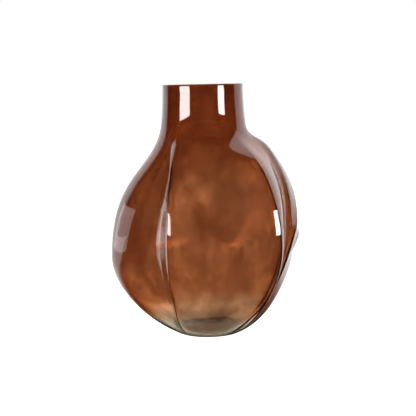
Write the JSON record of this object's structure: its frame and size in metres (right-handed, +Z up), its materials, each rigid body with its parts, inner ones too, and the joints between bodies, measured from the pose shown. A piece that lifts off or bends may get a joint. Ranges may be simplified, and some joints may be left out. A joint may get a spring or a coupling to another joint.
{
  "type": "glass vase",
  "caption": "Blown amber glass vase, its round belly pressed into soft lobes by long folds, with a straight cut neck and a thick clear foot.",
  "frame": {"origin": "centre of the underside on the table, on the neck's axis, at the bottom centre of the bounding box", "axes": "+Z up through the neck, -Y the front of the vase, +X to the right"},
  "size_m": [0.2133, 0.1884, 0.28],
  "materials": {
    "clear_glass": "fire-polished clear glass with a faint grey-olive cast",
    "amber_glass": "fire-polished amber-brown glass, cloudy where the colour is uneven"
  },
  "bodies": {
    "root": {"clear_casing": "clear_glass", "amber_lining": "amber_glass"}
  },
  "joints": []
}
